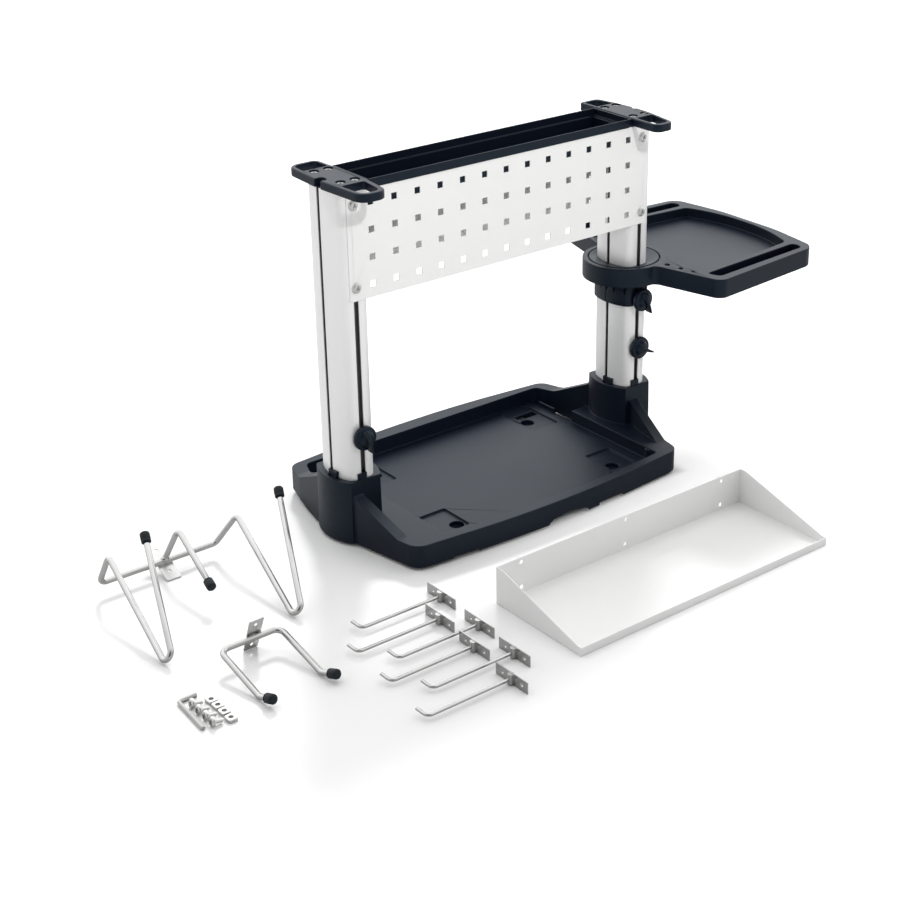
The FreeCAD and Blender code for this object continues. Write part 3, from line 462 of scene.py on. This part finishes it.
def round_post(angle, rows):
    """Grid about the right post's axis from rows of (reach, height) over the angles."""
    return np.stack([
        np.stack([POST_X + reach * np.cos(angle), reach * np.sin(angle), height + 0 * angle], axis=1)
        for reach, height in rows])


def ribbed_ring():
    """Clamp ring: the post's oval grown by 3.6 mm, flared at the top, with V notches.

    reach(a, z) = oval(a) + 3.6 + flare * (1.4 + 6 * max(cos a, 0)) - 3.3 * notch, where the
    flare rises smoothly from 252 to 267 mm and a notch is 3.6 * (z - 249) / 18 mm to
    each side of its middle line.
    """
    angle = np.linspace(0, 2 * math.pi, 392, endpoint=False)
    step = 2 * math.pi / RING_NOTCHES
    off = (angle - math.radians(-150.0) + step / 2) % step - step / 2
    foot = [(3.0, 231.0), (3.45, 231.15), (RING_WALL, 231.6)]
    groove = np.exp(-((np.abs(angle - math.pi) * 31.0) / 0.7) ** 4)
    rows = [(post_reach(angle, grow) - 0.7 * groove, height) for grow, height in foot]
    for height in np.concatenate([[240.0, 248.6], np.linspace(249.0, 267.1, 30)]):
        rise = float(np.clip((height - 252.0) / 15.0, 0, 1))
        flare = rise * rise * (3 - 2 * rise) * (1.4 + 6.0 * np.maximum(np.cos(angle), 0))
        reach = post_reach(angle, RING_WALL) + flare
        half = 3.6 * max(height - 249.0, 0) / 18.0
        notch = np.clip((half - np.abs(off) * reach) / 0.45 + 0.5, 0, 1) if half > 0.2 else 0 * angle
        rows.append((reach - 3.3 * notch - 0.7 * groove, float(height)))
    rows += [(post_reach(angle, POST_FIT), 267.1), (post_reach(angle, POST_FIT), 231.0)]
    profile = [(11.0, 0.0), (11.0, 4.2), (10.4, 4.8), (3.3, 4.8), (3.2, 0.0)]
    boss = turned(profile, (POST_X, -38.3, 241.0), (0, -1, 0), 48)
    grids = [round_post(angle, rows), boss]
    piece = surface("clamp_ring_piece", grids, "clamp_ring", sharp=32.0, hollow=(0, 1))
    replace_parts(piece, "clamp_ring")


def flanged_bush():
    """Bush: a barrel and a shallow dished flange about the tray's axis, round the post's oval."""
    angle = np.linspace(0, 2 * math.pi, 192, endpoint=False)
    outer = [(43.9, 267.6), (43.9, 292.45), (53.4, 292.45), (53.6, 292.8), (53.6, 295.6), (53.2, 296.5),
             (52.4, 296.9), (51.2, 296.9), (49.5, 296.5)]
    inner = [(4.0, 294.9), (1.2, 294.6), (0.6, 294.2), (POST_FIT, 293.4)]
    rows = [(post_reach(angle, POST_FIT), 267.6)]
    rows += [(hub_reach(angle, radius), height) for radius, height in outer]
    rows += [(post_reach(angle, grow), height) for grow, height in inner]
    piece = surface("swivel_bush_piece", [round_post(angle, rows)], "swivel_bush", sharp=32.0, hollow=(0,))
    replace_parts(piece, "swivel_bush")


def rubber_tip(tip, before):
    """Rubber cap on a wire's end, turned with a rolled lip and a domed top."""
    along = np.asarray(tip, float) - np.asarray(before, float)
    profile = [(4.05, -12.6), (5.9, -12.9), (6.5, -12.4), (6.55, -10.9), (6.3, -10.5), (6.3, -9.9),
               (6.6, -9.4), (6.6, -0.6), (6.35, 0.6), (5.6, 1.5), (4.2, 1.9), (2.0, 2.0), (0.2, 2.0)]
    return turned(profile, tip, along)


def knob(node, x, back, z, turn):
    """Clamp knob: a turned disc on a boss, with one blade that thins towards its tip."""
    c, s = math.cos(math.radians(turn)), math.sin(math.radians(turn))

    def place(u, v, w):
        return np.stack([x + u * c - v * s, back - w, z + u * s + v * c], axis=-1)

    ring = [(3.2, 0.0), (8.9, 0.0), (9.7, 0.5), (9.9, 2.2), (15.6, 2.5), (17.0, 3.1), (17.6, 4.6),
            (17.6, 8.0), (17.1, 9.5), (15.9, 10.3), (13.9, 10.4), (12.4, 10.7), (11.3, 12.0), (9.6, 14.2),
            (8.6, 14.9), (0.3, 15.2)]
    disc = turned(ring, (x, back, z), (0.0, -1.0, 0.0), 56)
    outline = [(-13.6, 6.0), (0.0, 5.4), (15.0, 5.4), (21.2, 6.6), (22.0, 8.0), (22.0, 18.6), (21.2, 19.6),
               (16.0, 20.1), (10.0, 20.4), (4.0, 20.1), (-2.0, 18.9), (-6.5, 17.4), (-10.0, 15.6),
               (-12.6, 13.2), (-13.8, 10.0)]
    smooth = np.asarray(outline, float)
    for weight in (0.25, 0.25):
        mid = (smooth * (1 - weight) + np.roll(smooth, -1, axis=0) * weight,
               smooth * weight + np.roll(smooth, -1, axis=0) * (1 - weight))
        smooth = np.stack(mid, axis=1).reshape(-1, 2)
    blade = pillow(smooth, lambda u: 4.2 - 0.085 * (u + 13.0), 1.5, place)
    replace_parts(surface(node + "_piece", [disc, blade], node), node)


WIRE_RADIUS = 4.0
WIRE_SIDES = 24
V_BEND = 9.0
U_BEND = 12.0

# Corner points of the wires, as the part has them, in millimetres.
V_FRAME = [(-578.0, -7.0, 107.0), (-643.77, -196.64, -12.01), (-608.27, 43.32, 62.69), (-618.0, 60.0, 18.0),
           (-441.0, 60.0, 18.0), (-416.71, 38.16, 62.34), (-459.28, -198.62, -10.81), (-375.0, -7.0, 107.0)]
V_CENTRE = [(-520.0, 60.0, 20.0), (-500.52, 50.98, 63.14), (-518.0, -63.0, 31.0)]
U_FRAME = [(-583.0, -315.0, 13.0), (-586.0, -288.0, 4.6), (-586.0, -198.0, 25.0),
           (-499.0, -198.0, 25.0), (-499.0, -291.0, 4.6), (-493.5, -318.0, 13.0)]


def weld(centre, along, length, radius):
    """Weld bead: a turned lens, radius * sqrt(1 - t * t) wide at t from -1 to 1 along it."""
    t = np.linspace(-0.995, 0.995, 13)
    return turned(np.stack([radius * np.sqrt(1 - t * t), t * length / 2], axis=1), centre, along, 20)


def v_holder():
    """Holder of one bent wire with two V arms, a centre arm welded to it, and three caps."""
    frame_rod = carried(rounded_path(V_FRAME, V_BEND), WIRE_RADIUS, WIRE_SIDES)
    centre_rod = carried(rounded_path(V_CENTRE, V_BEND), WIRE_RADIUS, WIRE_SIDES)
    beads = [weld((-519.5, 59.8, 20.6), (1, 0, 0), 13.0, 5.2)]
    beads += [weld((x, 60.4, 14.9), (1, 0, 0), 9.0, 2.4) for x in (-524.4, -514.6)]
    wires = surface("v_holder_wires_piece", [frame_rod, centre_rod] + beads, "v_holder_wires")
    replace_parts(wires, "v_holder_wires")
    ends = [(V_FRAME[0], V_FRAME[1]), (V_FRAME[-1], V_FRAME[-2]), (V_CENTRE[-1], V_CENTRE[-2])]
    caps = [rubber_tip(tip, before) for tip, before in ends]
    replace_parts(surface("v_holder_caps_piece", caps, "v_holder_caps"), "v_holder_caps")


def u_holder():
    """Holder of one U-shaped wire with its two weld beads and two caps."""
    bar = carried(rounded_path(U_FRAME, U_BEND), WIRE_RADIUS, WIRE_SIDES)
    beads = [weld((x, -194.6, 22.4), (1, 0, 0.1), 8.0, 2.2) for x in (-541.0, -527.0)]
    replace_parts(surface("u_holder_wire_piece", [bar] + beads, "u_holder_wire"), "u_holder_wire")
    caps = [rubber_tip(U_FRAME[0], U_FRAME[1]), rubber_tip(U_FRAME[-1], U_FRAME[-2])]
    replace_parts(surface("u_holder_caps_piece", caps, "u_holder_caps"), "u_holder_caps")


v_holder()
u_holder()
ribbed_ring()
flanged_bush()
knob("ring_knob", POST_X, -43.4, 241.0, -68.0)
knob("left_knob", -POST_X, -38.8, 161.4, -76.0)
knob("right_knob", POST_X, -38.8, 161.4, -24.0)

# Width of the rounded edges of the nodes that keep their own shape, in millimetres.
EDGES = {
    "base_tray": 1.0, "cap_left": 0.8, "cap_right": 0.8, "top_trough": 0.8, "swivel_tray": 1.2,
    "front_panel": 0.25, "rear_panel": 0.25, "shelf": 0.4,
    "post_left": 0.3, "post_right": 0.3,
    "v_holder_plate": 0.3, "u_holder_plate": 0.3, "loose_nuts": 0.4,
}
for node, width in EDGES.items():
    softened(node, width)

MADE = ("swivel_bush", "clamp_ring", "v_holder_wires", "v_holder_caps", "u_holder_wire", "u_holder_caps",
        "ring_knob", "left_knob", "right_knob")
for node, thing in frame["nodes"].items():
    if node not in EDGES and node not in MADE:
        thing.data.materials.clear()
        thing.data.materials.append(FINISHES[SLOTS[node]])


# Stage, light and camera

def white_floor():
    """Pale floor, white to the camera, that keeps the object's shadow.

    It grows lighter to the right, except under the base: a glow that only the camera sees is painted light
    and lightens the shadow there. In reflections the floor is painted darker than in the light it bounces.
    """
    f = Finish("pale_floor", Roughness=0.9, Specular_IOR_Level=0.0, Emission_Strength=1.0)
    seen = f.add("LightPath", out="Is Camera Ray")
    mirrored = f.add("LightPath", out="Is Glossy Ray")
    # Painted reflection: in glossy rays the floor is darker (0.46) than in the light it bounces (0.72).
    bounce_and_painted_reflection = f.mix(mirrored, rgb(0.72, 0.72, 0.72), rgb(0.46, 0.46, 0.46))
    smooth = {"interpolation_type": "SMOOTHSTEP"}
    # Painted light: a glow that only the camera sees grows to the right, except under the base, and
    # lightens the shadow there.
    rightwards = {"Value": f.axis("X"), "From Min": -0.35, "From Max": 0.32, "To Max": FLOOR_PAINTED_LIGHT}
    painted_light_right = f.add("MapRange", smooth, rightwards)
    beside = f.add("MapRange", {}, {"Value": f.size(f.axis("X")), "From Min": 0.235, "From Max": 0.252})
    before = f.add("MapRange", {}, {"Value": f.size(f.axis("Y")), "From Min": 0.158, "From Max": 0.172})
    outside = f.add("Math", {"operation": "MAXIMUM"}, {0: beside, 1: before})
    f.set(
        Base_Color=f.mix(seen, bounce_and_painted_reflection, rgb(FLOOR_SEEN, FLOOR_SEEN, FLOOR_SEEN)),
        Emission_Color=f.mix(seen * painted_light_right * outside, rgb(0.0, 0.0, 0.0), rgb(1.0, 1.0, 1.0)),
    )
    mesh = bpy.data.meshes.new("floor")
    half = 14.0
    corners = [(-half, -half, 0), (half, -half, 0), (half, half, 0), (-half, half, 0)]
    mesh.from_pydata(corners, [], [(0, 1, 2, 3)])
    mesh.materials.append(f.material)
    floor = bpy.data.objects.new("floor", mesh)
    bpy.context.scene.collection.objects.link(floor)
    floor.location.z = FLOOR_LEVEL


def beam(name, place, target, degrees, radius, power):
    """Lamp with a soft-edged cone; it adds no glints of its own."""
    lamp = bpy.data.lights.new(name, "SPOT")
    lamp.spot_size = math.radians(degrees)
    lamp.spot_blend = 0.6
    lamp.shadow_soft_size = radius
    lamp.energy = power
    holder = bpy.data.objects.new(name, lamp)
    holder.location = place
    holder.visible_glossy = False
    holder.rotation_euler = (Vector(place) - Vector(target)).to_track_quat("Z", "Y").to_euler()
    bpy.context.scene.collection.objects.link(holder)


def far_lamp(name, toward, spread, strength):
    """Even light from one side, soft by the lamp's width in degrees; no glints of its own."""
    lamp = bpy.data.lights.new(name, "SUN")
    lamp.angle = math.radians(spread)
    lamp.energy = strength
    holder = bpy.data.objects.new(name, lamp)
    holder.visible_glossy = False
    holder.rotation_euler = Vector(toward).to_track_quat("Z", "Y").to_euler()
    bpy.context.scene.collection.objects.link(holder)


def room():
    """White to the camera; the room's light is stronger behind and dark on the camera's side."""
    world = bpy.data.worlds.new("studio")
    bpy.context.scene.world = world
    world.use_nodes = True
    tree = world.node_tree
    tree.nodes.clear()

    def add(kind, settings, sockets):
        node = tree.nodes.new("ShaderNode" + kind)
        for key, setting in settings.items():
            setattr(node, key, setting)
        for key, given in sockets.items():
            if isinstance(given, bpy.types.NodeSocket):
                tree.links.new(given, node.inputs[key])
            else:
                node.inputs[key].default_value = given
        return node.outputs

    toward = add("TexCoord", {}, {})["Generated"]
    bright_side = Vector((0.45, 0.62, 0.42)).normalized()
    along = add("VectorMath", {"operation": "DOT_PRODUCT"}, {0: toward, 1: bright_side})["Value"]
    smooth = {"interpolation_type": "SMOOTHSTEP"}
    lobe = {"Value": along, "From Min": -0.2, "From Max": 0.9, "To Min": ROOM_DIM, "To Max": ROOM_BRIGHT}
    level = add("MapRange", smooth, lobe)["Result"]
    dark_side = Vector((-0.56, -0.72, 0.41)).normalized()
    near = add("VectorMath", {"operation": "DOT_PRODUCT"}, {0: toward, 1: dark_side})["Value"]
    card = {"Value": near, "From Min": 0.79, "From Max": 0.95, "To Min": 1.0, "To Max": ROOM_CARD}
    shaded = add("MapRange", smooth, card)["Result"]
    level = add("Math", {"operation": "MULTIPLY"}, {0: level, 1: shaded})["Value"]
    camera = add("LightPath", {}, {})["Is Camera Ray"]
    strength = add("Mix", {"data_type": "FLOAT"}, {0: camera, 2: level, 3: 1.0})["Result"]
    background = add("Background", {}, {"Color": rgb(1.0, 1.0, 1.0), "Strength": strength})["Background"]
    add("OutputWorld", {}, {"Surface": background})


# Floor height in metres, its white, its painted light to the right, and the room's light levels.
FLOOR_LEVEL = -0.0004
FLOOR_SEEN = 0.84
FLOOR_PAINTED_LIGHT = 0.30
ROOM_DIM = 0.76
ROOM_BRIGHT = 1.62
ROOM_CARD = 0.16

white_floor()
room()
far_lamp("back_key", (0.8, 1.0, 1.05), 9.0, 1.8)
beam("front_key", (-0.36, -2.30, 2.36), (0.04, -0.04, 0.44), 17.0, 0.08, 128.0)

eye = bpy.data.cameras.new("camera")
eye.sensor_width = 36.0
eye.lens = eye.sensor_width * FOCAL / PHOTO
eye.shift_x = -(MIDDLE_X - PHOTO / 2) / PHOTO
eye.shift_y = (MIDDLE_Y - PHOTO / 2) / PHOTO
camera = bpy.data.objects.new("camera", eye)
camera.location = (-1.4929, -1.8995, 1.2070)
camera.rotation_euler = (math.radians(65.601), 0.0, math.radians(-39.65))
bpy.context.scene.collection.objects.link(camera)
bpy.context.scene.camera = camera
bpy.context.scene.view_settings.view_transform = "Standard"
